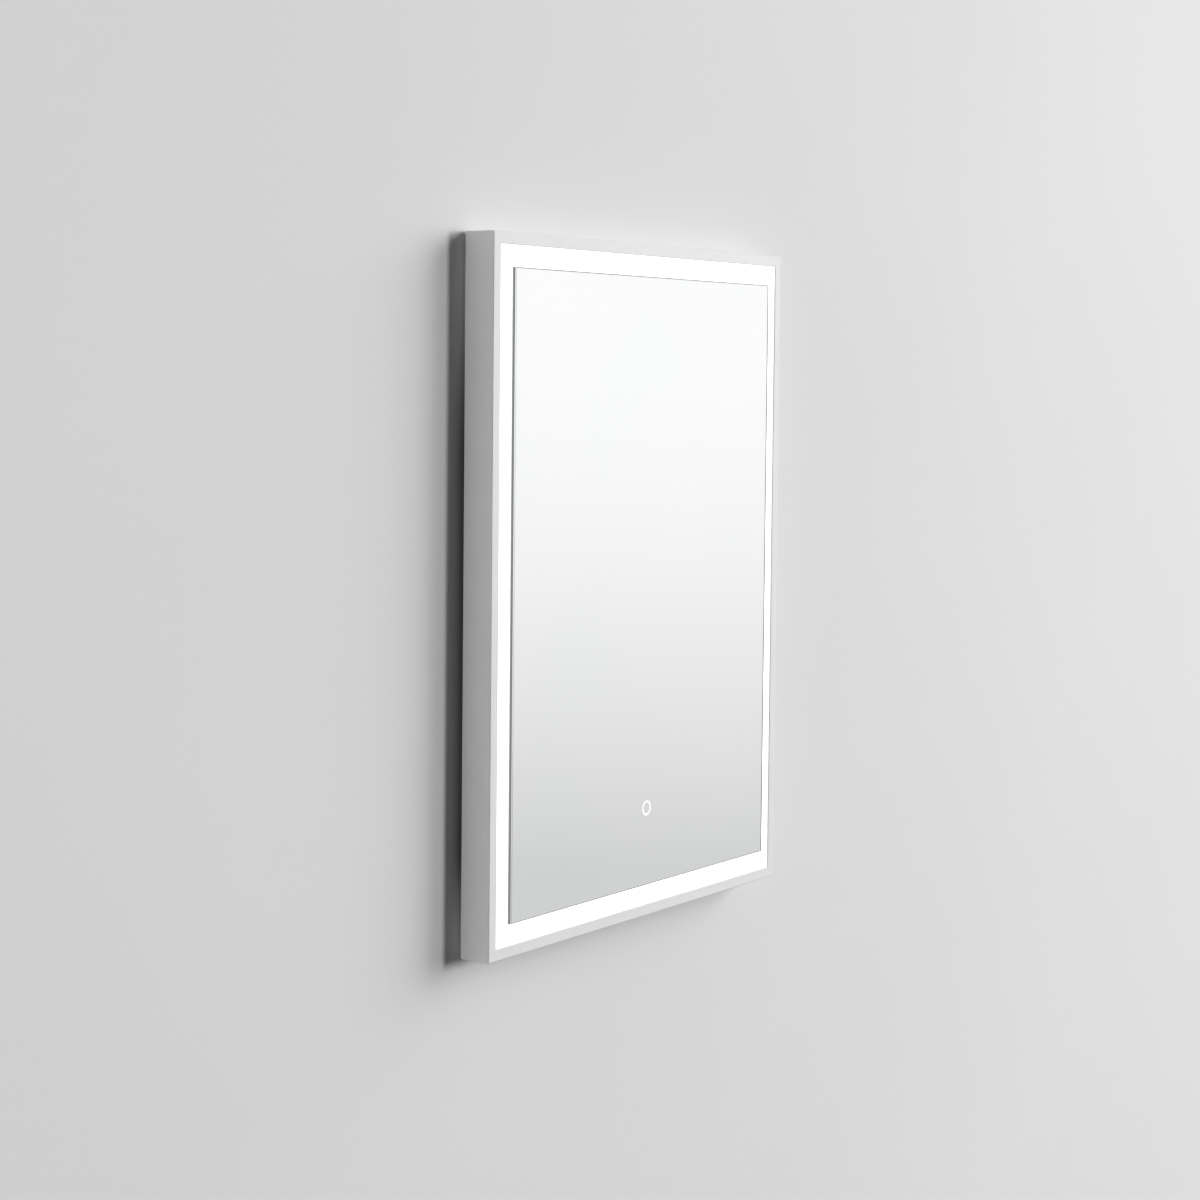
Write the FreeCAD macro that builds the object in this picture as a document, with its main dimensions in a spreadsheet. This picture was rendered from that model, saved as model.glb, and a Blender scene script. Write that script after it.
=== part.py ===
import FreeCAD, Part
import math
import os

import Sketcher

# Front-lit bathroom mirror: a mitred aluminium frame round an opal light sheet, with the mirror glass
# standing forward on a white board, and the light strips, driver and wiring on a steel back panel.
# Millimetres. +Z is up and the front faces -Y. The wall is the plane y = 0, and the origin is the
# middle of the wall rail's two screw slots.

Vector = FreeCAD.Vector
doc = FreeCAD.newDocument("lighted_mirror")
sheet = doc.addObject("Spreadsheet::Sheet", "Sizes")


class Size:
    """A length with its number and the formula that gives it from the sheet."""

    def __init__(self, number, formula):
        self.number = float(number)
        self.formula = formula

    def joined(self, sign, other, number):
        return Size(number, f"({self.formula} {sign} {other.formula})")

    def __add__(self, other):
        other = as_size(other)
        return self.joined("+", other, self.number + other.number)

    def __radd__(self, other):
        return as_size(other) + self

    def __sub__(self, other):
        other = as_size(other)
        return self.joined("-", other, self.number - other.number)

    def __rsub__(self, other):
        return as_size(other) - self

    def __mul__(self, other):
        other = as_size(other)
        return self.joined("*", other, self.number * other.number)

    def __rmul__(self, other):
        return as_size(other) * self

    def __truediv__(self, other):
        other = as_size(other)
        return self.joined("/", other, self.number / other.number)

    def __neg__(self):
        return 0 - self


def as_size(value):
    return value if isinstance(value, Size) else Size(value, f"({float(value)!r})")


def size(alias, number, note):
    """Write one driving dimension in the sheet."""
    row = size.rows = getattr(size, "rows", 0) + 1
    sheet.set(f"A{row}", note)
    sheet.set(f"B{row}", str(number))
    sheet.setAlias(f"B{row}", alias)
    return Size(number, f"Sizes.{alias}")


# ---------------------------------------------------------------- driving dimensions

frame_width = size("frame_width", 600.0, "outer width of the frame")
frame_height = size("frame_height", 800.0, "outer height of the frame")
frame_depth = size("frame_depth", 39.0, "front lip to rear edge of the frame")
wall_gap = size("wall_gap", 2.0, "rear edge of the frame to the wall")
rail_drop = size("rail_drop", 95.0, "top of the frame to the rail's screw line")

lip_width = size("lip_width", 13.5, "front face of the frame, seen from the front")
frame_wall = size("frame_wall", 1.5, "wall of the frame's extrusion")
frame_edge = size("frame_edge", 0.7, "bevel along the frame's front edges")
recess_depth = size("recess_depth", 6.0, "front lip to the light sheet")
sheet_groove = size("sheet_groove", 2.9, "width of the groove that holds the light sheet")
sheet_rib = size("sheet_rib", 5.0, "reach of the rib behind that groove")
chamber_start = size("chamber_start", 14.0, "front lip to the key chamber")
seat_depth = size("seat_depth", 27.2, "front lip to the seat of the back panel")
rear_lip = size("rear_lip", 5.5, "rear face of the frame")
key_play = size("key_play", 0.2, "clearance of a corner key in its chamber")
key_leg = size("key_leg", 42.0, "length of a corner key's leg")
key_lead = size("key_lead", 1.5, "bevel at the ends of a corner key's legs")

light_sheet = size("light_sheet", 2.5, "thickness of the opal light sheet")
sheet_play = size("sheet_play", 0.6, "clearance of the light sheet at its edges")
board_thick = size("board_thick", 5.0, "thickness of the board behind the glass")
board_inset = size("board_inset", 0.6, "board edge inside the glass edge")
bond_thick = size("bond_thick", 0.5, "thickness of the bonding strips")
bond_width = size("bond_width", 14.0, "width of a bonding strip")
coating = size("coating", 0.3, "silvering and its backing paint")
glass_thick = size("glass_thick", 4.0, "thickness of the mirror glass")
glass_side = size("glass_side", 34.5, "frame's outer edge to the glass, at the sides")
glass_end = size("glass_end", 37.5, "frame's outer edge to the glass, at top and bottom")
glass_arris = size("glass_arris", 0.8, "ground bevel along the glass's front edges")

ring_height = size("ring_height", 130.8, "bottom of the frame to the middle of the touch ring")
ring_radius = size("ring_radius", 7.8, "middle of the touch ring's line")
ring_line = size("ring_line", 2.4, "width of the touch ring's line")
touch_side = size("touch_side", 34.0, "side of the touch switch's case")
touch_depth = size("touch_depth", 18.0, "depth of the touch switch's case")
touch_wall = size("touch_wall", 1.5, "wall of the touch switch's case")
window_play = size("window_play", 1.0, "clearance round the touch switch's case")

panel_thick = size("panel_thick", 0.8, "steel of the back panel")
panel_side = size("panel_side", 7.0, "frame's outer edge to the back panel's edge")
reflector_wall = size("reflector_wall", 0.8, "steel of the inner reflectors")
reflector_side = size("reflector_side", 40.0, "frame's outer edge to a reflector's web")
reflector_flange = size("reflector_flange", 12.0, "flange of a reflector")
strip_side = size("strip_side", 25.0, "frame's outer edge to the middle of a light strip")
strip_width = size("strip_width", 8.0, "width of a light strip")
strip_thick = size("strip_thick", 1.0, "thickness of a light strip's board")
chip_side = size("chip_side", 3.2, "side of a light chip")
chip_thick = size("chip_thick", 0.8, "height of a light chip")
chip_pitch = size("chip_pitch", 30.0, "spacing of the light chips")
link_width = size("link_width", 4.0, "width of a soldered link between two light strips")
link_thick = size("link_thick", 0.5, "thickness of a soldered link between two light strips")

screw_hole = size("screw_hole", 1.5, "pilot hole of a back panel screw")
screw_shank = size("screw_shank", 1.45, "radius of a small screw's shank")
screw_play = size("screw_play", 0.3, "clearance of a screw in the sheet it holds")
screw_line = size("screw_line", 10.3, "frame's outer edge to the back panel screws")
screw_reach = size("screw_reach", 7.0, "length of a back panel screw under its head")
head_radius = size("head_radius", 2.9, "radius of a back panel screw's head")
head_thick = size("head_thick", 1.8, "height of a back panel screw's head")

rail_length = size("rail_length", 400.0, "length of the wall rail")
rail_wall = size("rail_wall", 2.0, "wall of the rail and of the hanger")
rail_below = size("rail_below", 20.0, "screw line to the rail's lower edge")
rail_above = size("rail_above", 12.0, "screw line to the floor of the rail's hook")
hook_space = size("hook_space", 6.0, "wall to the back of the rail's hook")
hook_height = size("hook_height", 12.0, "height of the rail's hook above its floor")
hang_play = size("hang_play", 0.3, "clearance of the hanger in the hook")
slot_spacing = size("slot_spacing", 300.0, "spacing of the rail's screw slots")
slot_length = size("slot_length", 22.0, "end to end length of a screw slot")
slot_radius = size("slot_radius", 2.75, "half the width of a screw slot")
hanger_length = size("hanger_length", 440.0, "length of the hanger on the back panel")
hanger_plate = size("hanger_plate", 28.0, "height of the hanger's plate")
bend_inner = size("bend_inner", 0.6, "inner radius of the rail's and the hanger's bends")
tip_bevel = size("tip_bevel", 0.5, "bevel along the tips of the hook and of the tongue")

bumper_radius = size("bumper_radius", 9.0, "radius of a wall bumper's foot")
bumper_tip = size("bumper_tip", 7.0, "radius of a wall bumper's tip")
bumper_edge = size("bumper_edge", 1.0, "bevel round the tip of a wall bumper")
bumper_stem = size("bumper_stem", 2.4, "radius of a wall bumper's push-in stem")
stem_play = size("stem_play", 0.1, "clearance of a bumper's stem in its hole")
bumper_side = size("bumper_side", 75.0, "frame's outer edge to a bumper's middle")

vent_length = size("vent_length", 40.0, "length of a vent slot")
vent_width = size("vent_width", 3.0, "width of a vent slot")
entry_radius = size("entry_radius", 4.0, "radius of the cable entry")
grommet_radius = size("grommet_radius", 6.5, "radius of the grommet's groove")
grommet_flange = size("grommet_flange", 9.0, "radius of the grommet's flanges")
grommet_lip = size("grommet_lip", 2.0, "thickness of a grommet flange")
entry_drop = size("entry_drop", 72.0, "rail's screw line down to the cable entry")
box_width = size("box_width", 76.0, "opening of the connection box across")
box_height = size("box_height", 56.0, "opening of the connection box up and down")
box_depth = size("box_depth", 16.0, "depth of the connection box")
box_wall = size("box_wall", 1.5, "wall of the connection box")
box_rim = size("box_rim", 8.0, "rim of the connection box and of its cover")

driver_width = size("driver_width", 150.0, "length of the driver's case")
driver_height = size("driver_height", 42.0, "height of the driver's case")
driver_depth = size("driver_depth", 16.0, "depth of the driver's case")
driver_wall = size("driver_wall", 1.5, "wall of the driver's case")
driver_base_thick = size("driver_base_thick", 1.6, "base plate of the driver")
driver_tape_thick = size("driver_tape_thick", 0.8, "tape that holds the driver to the back panel")
driver_drop = size("driver_drop", 200.0, "rail's screw line down to the middle of the driver")
case_corner = size("case_corner", 2.5, "rounding or clip at the corners of a moulded case")
rim_corner = size("rim_corner", 4.0, "clipped corners of the connection box's rim and of its cover")

mains_lead_radius = size("mains_lead_radius", 2.6, "radius of the lead to the driver")
light_lead_radius = size("light_lead_radius", 1.6, "radius of the low voltage leads")
lead_play = size("lead_play", 0.3, "clearance of a lead in a wall that it passes")
mains_lead_side = size("mains_lead_side", 24.0, "middle of the mirror to the lead to the driver")
clip_side = size("clip_side", 10.0, "side of a lead clip's foot")

# ---------------------------------------------------------------- places worked out from them

left_x = -frame_width / 2
right_x = frame_width / 2
top_z = rail_drop
bottom_z = rail_drop - frame_height
middle_z = rail_drop - frame_height / 2
lip_y = -(frame_depth + wall_gap)
sheet_front_y = lip_y + recess_depth
sheet_rear_y = sheet_front_y + light_sheet
board_front_y = sheet_front_y - board_thick
coating_rear_y = board_front_y - bond_thick
coating_front_y = coating_rear_y - coating
glass_front_y = coating_front_y - glass_thick
panel_front_y = lip_y + seat_depth
panel_rear_y = panel_front_y + panel_thick
glass_width = frame_width - glass_side * 2
ring_z = bottom_z + ring_height
entry_z = -entry_drop
driver_z = -driver_drop
driver_left = -driver_width / 2
driver_right = driver_width / 2
driver_low = driver_z - driver_height / 2
driver_high = driver_z + driver_height / 2
hook_top = rail_above + hook_height
lead_y = panel_front_y - box_depth / 2
strip_lead_y = panel_front_y - strip_thick - light_lead_radius - lead_play * 2
touch_lead_y = coating_rear_y + touch_depth - touch_wall - light_lead_radius - lead_play

# ---------------------------------------------------------------- small helpers


def bind(thing, prop, formula):
    thing.setExpression(prop, as_size(formula).formula)


def place(thing, x=0, y=0, z=0):
    """Bind where a piece stands."""
    bind(thing, "Placement.Base.x", x)
    bind(thing, "Placement.Base.y", y)
    bind(thing, "Placement.Base.z", z)


def new_body(label):
    body = doc.addObject("PartDesign::Body", label)
    body.Label = label
    return body


def sketch_on(body, plane, offset=0):
    """A sketch on one of the body's own planes, moved along the plane's normal."""
    sketch = body.newObject("Sketcher::SketchObject", body.Name + "_sketch")
    support = [item for item in body.Origin.OriginFeatures if item.Role == plane]
    sketch.AttachmentSupport = [(support[0], "")]
    sketch.MapMode = "FlatFace"
    bind(sketch, "AttachmentOffset.Base.z", offset)
    return sketch


def front_sketch(body, depth_y):
    """A sketch that faces the front at a given y: its x is X and its y is Z."""
    return sketch_on(body, "XZ_Plane", -depth_y)


def hold_point(sketch, item, point, x, y):
    """Fix a point of a sketch at bound distances from the sketch's origin."""
    for kind, value in (("DistanceX", x), ("DistanceY", y)):
        value = as_size(value)
        index = sketch.addConstraint(Sketcher.Constraint(kind, -1, 1, item, point, value.number))
        sketch.setExpression(f"Constraints[{index}]", value.formula)


def outline(sketch, points):
    """A closed outline of straight lines through bound points."""
    first = sketch.GeometryCount
    corners = [Vector(as_size(x).number, as_size(y).number, 0) for x, y in points]
    for start, end in zip(corners, corners[1:] + corners[:1]):
        sketch.addGeometry(Part.LineSegment(start, end), False)
    for index in range(len(points)):
        following = first + (index + 1) % len(points)
        sketch.addConstraint(Sketcher.Constraint("Coincident", first + index, 2, following, 1))
    for index, (x, y) in enumerate(points):
        hold_point(sketch, first + index, 1, x, y)


def rectangle(sketch, x0, x1, y0, y1):
    outline(sketch, [(x0, y0), (x1, y0), (x1, y1), (x0, y1)])


def circle(sketch, x, y, radius):
    centre = Vector(as_size(x).number, as_size(y).number, 0)
    item = sketch.addGeometry(Part.Circle(centre, Vector(0, 0, 1), as_size(radius).number), False)
    hold_point(sketch, item, 3, x, y)
    index = sketch.addConstraint(Sketcher.Constraint("Radius", item, as_size(radius).number))
    sketch.setExpression(f"Constraints[{index}]", as_size(radius).formula)


def slot(sketch, x, y, length, radius):
    """A round-ended slot along the sketch's x, its length measured end to end."""
    first = sketch.GeometryCount
    reach = as_size(length / 2 - radius)
    ends = (x + reach, x - reach)
    up = Vector(0, as_size(radius).number, 0)
    normal = Vector(0, 0, 1)
    centres = [Vector(as_size(end).number, as_size(y).number, 0) for end in ends]
    for centre, start in zip(centres, (-math.pi / 2, math.pi / 2)):
        whole = Part.Circle(centre, normal, as_size(radius).number)
        sketch.addGeometry(Part.ArcOfCircle(whole, start, start + math.pi), False)
    sketch.addGeometry(Part.LineSegment(centres[0] + up, centres[1] + up), False)
    sketch.addGeometry(Part.LineSegment(centres[1] - up, centres[0] - up), False)
    for one, end, other in ((0, 2, 2), (2, 2, 1), (1, 2, 3), (3, 2, 0)):
        sketch.addConstraint(Sketcher.Constraint("Tangent", first + one, end, first + other, 1))
    sketch.addConstraint(Sketcher.Constraint("Equal", first, first + 1))
    index = sketch.addConstraint(Sketcher.Constraint("Radius", first, as_size(radius).number))
    sketch.setExpression(f"Constraints[{index}]", as_size(radius).formula)
    for item, end in zip((first, first + 1), ends):
        hold_point(sketch, item, 3, end, y)


def pad(body, sketch, length, symmetric=False, backwards=False):
    feature = body.newObject("PartDesign::Pad", body.Name + "_pad")
    feature.Profile = sketch
    bind(feature, "Length", length)
    feature.SideType = "Symmetric" if symmetric else "One side"
    feature.Reversed = backwards
    doc.recompute()
    return feature


def pocket(body, sketch, length, symmetric=True, backwards=False):
    """Cut a sketch into the body, and make sure that it did cut."""
    before = body.Shape.Volume
    feature = body.newObject("PartDesign::Pocket", body.Name + "_pocket")
    feature.Profile = sketch
    bind(feature, "Length", length)
    feature.SideType = "Symmetric" if symmetric else "One side"
    feature.Reversed = backwards
    doc.recompute()
    if body.Shape.Volume > before - 1e-6:
        raise ValueError(f"{body.Label}: a pocket cut nothing")
    return feature


def edges_where(shape, test):
    return [f"Edge{index}" for index, edge in enumerate(shape.Edges, 1) if test(edge)]


def dress(body, kind, edges, amount):
    """A Chamfer or a Fillet on the body as it is so far."""
    base = body.Tip
    feature = body.newObject("PartDesign::" + kind, body.Name + "_" + kind)
    feature.Base = (base, edges)
    bind(feature, "Radius" if kind == "Fillet" else "Size", amount)
    doc.recompute()


def dress_corners(body, kind, amount, shortest=0.0):
    """Round or clip the corners that run straight from front to rear."""
    def is_corner(edge):
        box = edge.BoundBox
        return math.hypot(box.XLength, box.ZLength) < 1e-4 and box.YLength > shortest

    dress(body, kind, edges_where(body.Shape, is_corner), amount)


def dress_folds(body, kind, amount, places):
    """Round or clip the edges that run along X, each through a bound place (y, z)."""
    wanted = [(as_size(y).number, as_size(z).number) for y, z in places]

    def is_fold(edge):
        box = edge.BoundBox
        straight = math.hypot(box.YLength, box.ZLength) < 1e-4
        return straight and any(math.hypot(box.YMin - y, box.ZMin - z) < 1e-4 for y, z in wanted)

    edges = edges_where(body.Shape, is_fold)
    if len(edges) != len(wanted):
        raise ValueError(f"{body.Label}: {len(edges)} folds found, not {len(wanted)}")
    dress(body, kind, edges, amount)


def turned(body, points):
    """A body of revolution about its own Y axis, from an outline of radius and y."""
    sketch = sketch_on(body, "XY_Plane")
    outline(sketch, points)
    feature = body.newObject("PartDesign::Revolution", body.Name + "_turn")
    feature.Profile = sketch
    feature.ReferenceAxis = (sketch, ["V_Axis"])
    feature.Angle = 360.0
    doc.recompute()


def block(label, x0, x1, y0, y1, z0, z1):
    """A plain cuboid between bound faces."""
    box = doc.addObject("Part::Box", label)
    box.Label = label
    bind(box, "Length", x1 - as_size(x0))
    bind(box, "Width", y1 - as_size(y0))
    bind(box, "Height", z1 - as_size(z0))
    place(box, x0, y0, z0)
    return box


def gathered(label, pieces):
    """Several separate solids of one kind under one name."""
    group = doc.addObject("Part::Compound", label)
    group.Label = label
    group.Links = pieces
    return group


def copies(label, master, places, turn_about=Vector(0, 1, 0)):
    """Copies of a master piece at bound places, each (x, y, z) or (x, y, z, degrees)."""
    links = []
    for index, (x, y, z, *angle) in enumerate(places):
        link = doc.addObject("App::Link", f"{label}_{index}")
        link.LinkedObject = master
        link.Placement = FreeCAD.Placement(Vector(), FreeCAD.Rotation(turn_about, angle[0] if angle else 0))
        place(link, x, y, z)
        links.append(link)
    return gathered(label, links)


# ---------------------------------------------------------------- mitred members

# Frame and reflectors are made the same way: a profile of depth behind the lip against distance from
# the frame's outer edge is drawn out to the side's full length and cut at 45 degrees at both ends.

SIDES = {
    "bottom": (frame_width, 0, bottom_z, 0),
    "left": (frame_height, left_x, middle_z, 90),
    "top": (frame_width, 0, top_z, 180),
    "right": (frame_height, right_x, middle_z, -90),
}


def mitred_member(label, side, profile, hollows=(), reach=lip_width):
    length, x, z, angle = SIDES[side]
    body = new_body(label)
    section = sketch_on(body, "YZ_Plane")
    outline(section, profile)
    for hollow in hollows:
        rectangle(section, *hollow)
    pad(body, section, length, symmetric=True)
    ends = front_sketch(body, 0)
    far = reach + 1
    outline(ends, [(length / 2, 0), (length / 2, far), (length / 2 - far, far)])
    outline(ends, [(-length / 2, 0), (far - length / 2, far), (-length / 2, far)])
    pocket(body, ends, frame_depth * 4)
    body.Placement = FreeCAD.Placement(Vector(), FreeCAD.Rotation(Vector(0, 1, 0), angle))
    place(body, x, 0, z)
    return body


def frame_profile():
    """The extrusion: a hollow lip, the light sheet's groove, a key chamber and a rear lip."""
    def at(depth, inward):
        return lip_y + depth, inward

    groove_end = recess_depth + sheet_groove
    rear = frame_depth - frame_wall
    return [
        at(frame_edge, 0),
        at(frame_depth, 0),
        at(frame_depth, rear_lip),
        at(rear, rear_lip),
        at(rear, frame_wall),
        at(seat_depth, frame_wall),
        at(seat_depth, lip_width),
        at(chamber_start, lip_width),
        at(chamber_start, frame_wall),
        at(groove_end + frame_wall, frame_wall),
        at(groove_end + frame_wall, sheet_rib),
        at(groove_end, sheet_rib),
        at(groove_end, frame_wall),
        at(recess_depth, frame_wall),
        at(recess_depth, lip_width),
        at(frame_edge, lip_width),
        at(0, lip_width - frame_edge),
        at(0, frame_edge),
    ]


def frame_hollows():
    """The lip's chamber and the key chamber, each (depth from, depth to, inward from, inward to)."""
    inner = lip_width - frame_wall
    lip = (lip_y + frame_wall, sheet_front_y - frame_wall, frame_wall, inner)
    key = (lip_y + chamber_start + frame_wall, panel_front_y - frame_wall, frame_wall, inner)
    return [lip, key]


def screw_stations(side):
    """Where the back panel's screws stand along one side, from its middle."""
    if side in ("bottom", "top"):
        return [0]
    return [frame_height * -0.3, frame_height * 0.3]


def make_frame():
    for side in SIDES:
        body = mitred_member(f"frame_{side}", side, frame_profile(), frame_hollows())
        holes = front_sketch(body, panel_front_y)
        for station in screw_stations(side):
            circle(holes, station, screw_line, screw_hole)
        pocket(body, holes, frame_wall * 3)


def make_corner_keys():
    """L-shaped keys in the frame's two chambers, pressed into the ends of the members."""
    start = frame_wall + key_play
    width = lip_width - frame_wall * 2 - key_play * 2
    chambers = (
        ("corner_keys", chamber_start + frame_wall, seat_depth - frame_wall),
        ("corner_plates", frame_wall, recess_depth - frame_wall),
    )
    for label, front, rear in chambers:
        master = new_body(label + "_master")
        sketch = front_sketch(master, lip_y + front + key_play)
        lead = key_lead
        legs = [
            (0, 0), (key_leg - lead, 0), (key_leg, lead), (key_leg, width - lead), (key_leg - lead, width),
            (width, width), (width, key_leg - lead), (width - lead, key_leg), (lead, key_leg),
            (0, key_leg - lead),
        ]
        outline(sketch, legs)
        pad(master, sketch, rear - front - key_play * 2, backwards=True)
        copies(label, master, [
            (left_x + start, 0, bottom_z + start, 0),
            (left_x + start, 0, top_z - start, 90),
            (right_x - start, 0, top_z - start, 180),
            (right_x - start, 0, bottom_z + start, -90),
        ])


# ---------------------------------------------------------------- glass, board and light sheet


def touch_window(body, depth_y, side):
    sketch = front_sketch(body, depth_y)
    rectangle(sketch, -side / 2, side / 2, ring_z - side / 2, ring_z + side / 2)
    return sketch


def make_light_sheet():
    """Opal sheet in the frame's groove: it glows round the glass and carries the board."""
    edge = frame_wall + sheet_play
    body = new_body("light_sheet")
    sketch = front_sketch(body, sheet_rear_y)
    rectangle(sketch, left_x + edge, right_x - edge, bottom_z + edge, top_z - edge)
    pad(body, sketch, light_sheet)
    pocket(body, touch_window(body, sheet_rear_y, touch_side + window_play * 2), light_sheet * 3)


def make_board():
    side = glass_side + board_inset
    end = glass_end + board_inset
    body = new_body("mounting_board")
    sketch = front_sketch(body, sheet_front_y)
    rectangle(sketch, left_x + side, right_x - side, bottom_z + end, top_z - end)
    pad(body, sketch, board_thick)
    window = touch_window(body, sheet_front_y, touch_side + window_play * 2)
    pocket(body, window, board_thick * 3)


def make_bonding_strips():
    """Strips of bonding tape round the glass's back and up its middle."""
    side = glass_side + board_inset * 4
    end = glass_end + board_inset * 4
    low = bottom_z + end
    high = top_z - end
    x_left = left_x + side
    x_right = right_x - side
    depth = (coating_rear_y, board_front_y)
    strips = [
        block("bond_bottom", x_left, x_right, *depth, low, low + bond_width),
        block("bond_top", x_left, x_right, *depth, high - bond_width, high),
    ]
    inner = (low + bond_width + board_inset, high - bond_width - board_inset)
    strips.append(block("bond_left", x_left, x_left + bond_width, *depth, *inner))
    strips.append(block("bond_right", x_right - bond_width, x_right, *depth, *inner))
    for index, share in enumerate((-0.5, 0.5)):
        middle = share * (glass_width / 2)
        at = (middle - bond_width / 2, middle + bond_width / 2)
        strips.append(block(f"bond_middle_{index}", *at, *depth, *inner))
    gathered("bonding_strips", strips)


def make_glass():
    body = new_body("mirror_glass")
    sketch = front_sketch(body, coating_front_y)
    rectangle(sketch, left_x + glass_side, right_x - glass_side, bottom_z + glass_end, top_z - glass_end)
    pad(body, sketch, glass_thick)
    front = glass_front_y.number
    edges = edges_where(body.Shape, lambda edge: abs(edge.BoundBox.YMax - front) < 1e-4)
    dress(body, "Chamfer", edges, glass_arris)


def make_coating():
    """Silvering and paint on the back of the glass, with the ring left clear for its light."""
    whole = block(
        "coating_whole", left_x + glass_side, right_x - glass_side, coating_front_y, coating_rear_y,
        bottom_z + glass_end, top_z - glass_end,
    )
    rims = []
    for name, radius in (("outer", ring_radius + ring_line / 2), ("inner", ring_radius - ring_line / 2)):
        rim = doc.addObject("Part::Cylinder", f"ring_{name}")
        bind(rim, "Radius", radius)
        bind(rim, "Height", coating * 3)
        rim.Placement = FreeCAD.Placement(Vector(), FreeCAD.Rotation(Vector(1, 0, 0), 90))
        place(rim, 0, coating_rear_y + coating, ring_z)
        rims.append(rim)
    ring = doc.addObject("Part::Cut", "ring_window")
    ring.Base, ring.Tool = rims
    silver = doc.addObject("Part::Cut", "mirror_silvering")
    silver.Label = "mirror_silvering"
    silver.Base = whole
    silver.Tool = ring


def make_touch_switch():
    """A case on the back of the glass, with a sensing board and the opal ring that lights the window."""
    rear = coating_rear_y + touch_depth
    case = new_body("touch_case")
    sketch = touch_window(case, rear, touch_side)
    pad(case, sketch, touch_depth)
    dress_corners(case, "Chamfer", case_corner)
    inner = touch_window(case, coating_rear_y, touch_side - touch_wall * 2)
    pocket(case, inner, touch_depth - touch_wall, symmetric=False)
    exit_hole = sketch_on(case, "XY_Plane", ring_z + touch_side / 2)
    circle(exit_hole, 0, touch_lead_y, light_lead_radius + lead_play)
    pocket(case, exit_hole, touch_wall * 3)

    board = new_body("touch_board")
    half = touch_side / 2 - touch_wall - 0.4
    guide = 4.0
    board_y = coating_rear_y + guide
    sketch = front_sketch(board, board_y)
    rectangle(sketch, -half, half, ring_z - half, ring_z + half)
    pad(board, sketch, 1.6, backwards=True)

    ring = new_body("touch_light_ring")
    line = ring_line / 2 + 0.8
    near = ring_radius - line
    far = ring_radius + line
    turned(ring, [(near, 0), (far, 0), (far, guide), (near, guide)])
    place(ring, 0, coating_rear_y, ring_z)


# ---------------------------------------------------------------- light


def make_light_strips():
    """A strip of chips behind each side of the band, on the back panel."""
    front = panel_front_y - strip_thick
    chip = new_body("chip_master")
    sketch = front_sketch(chip, 0)
    rectangle(sketch, -chip_side / 2, chip_side / 2, -chip_side / 2, chip_side / 2)
    pad(chip, sketch, chip_thick)
    half = strip_width / 2
    end = strip_side + half + 1
    for side, (length, x, z, angle) in SIDES.items():
        along = angle in (0, 180)
        reach = length / 2 - (end if along else strip_side - half)
        inward = strip_side if angle in (0, 90) else -strip_side
        depth = (front, panel_front_y)
        if along:
            middle = z + inward
            block(f"strip_{side}", -reach, reach, *depth, middle - half, middle + half)
        else:
            middle = x + inward
            block(f"strip_{side}", middle - half, middle + half, *depth, z - reach, z + reach)
        count = int((2 * reach.number - chip_side.number * 2) / chip_pitch.number) + 1
        places = []
        for index in range(count):
            shift = chip_pitch * (index - (count - 1) / 2)
            places.append((shift, front, middle) if along else (middle, front, z + shift))
        copies(f"chips_{side}", chip, places)
    make_strip_links(front, end)


def make_strip_links(front, end):
    """Soldered links that join the strips at the corners, clear of the chips."""
    near = strip_side + chip_side / 2 + 0.4
    far = end + 1.2
    depth = (front - link_thick, front)
    links = []
    for name, z in (("low", bottom_z + strip_side), ("high", top_z - strip_side)):
        height = (z - link_width / 2, z + link_width / 2)
        links.append(block(f"link_left_{name}", left_x + near, left_x + far, *depth, *height))
        links.append(block(f"link_right_{name}", right_x - far, right_x - near, *depth, *height))
    gathered("strip_links", links)


def make_reflectors():
    """White channels that close the light band's inner side and prop the light sheet."""
    front = sheet_rear_y
    rear = panel_front_y
    web = reflector_side
    tip = reflector_side + reflector_flange
    wall = reflector_wall
    profile = [
        (front, web), (rear, web), (rear, tip), (rear - wall, tip),
        (rear - wall, web + wall), (front + wall, web + wall), (front + wall, tip), (front, tip),
    ]
    for side in SIDES:
        body = mitred_member(f"reflector_{side}", side, profile, reach=tip)
        if side == "left":
            hole = sketch_on(body, "XY_Plane", web)
            circle(hole, middle_z - driver_z, strip_lead_y, light_lead_radius + lead_play)
            pocket(body, hole, wall * 3)


# ---------------------------------------------------------------- back panel and what hangs on it


def panel_screw_places():
    places = [(0, bottom_z + screw_line), (0, top_z - screw_line)]
    for station in screw_stations("left"):
        places.append((left_x + screw_line, middle_z + station))
        places.append((right_x - screw_line, middle_z + station))
    return places


def screw_master(label, reach):
    """A plain headed screw that points to the front, its head's underside at y = 0."""
    screw = new_body(label)
    turned(screw, [
        (0, -reach), (screw_shank, -reach), (screw_shank, 0), (head_radius, 0), (head_radius, head_thick),
        (0, head_thick),
    ])
    return screw


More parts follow.
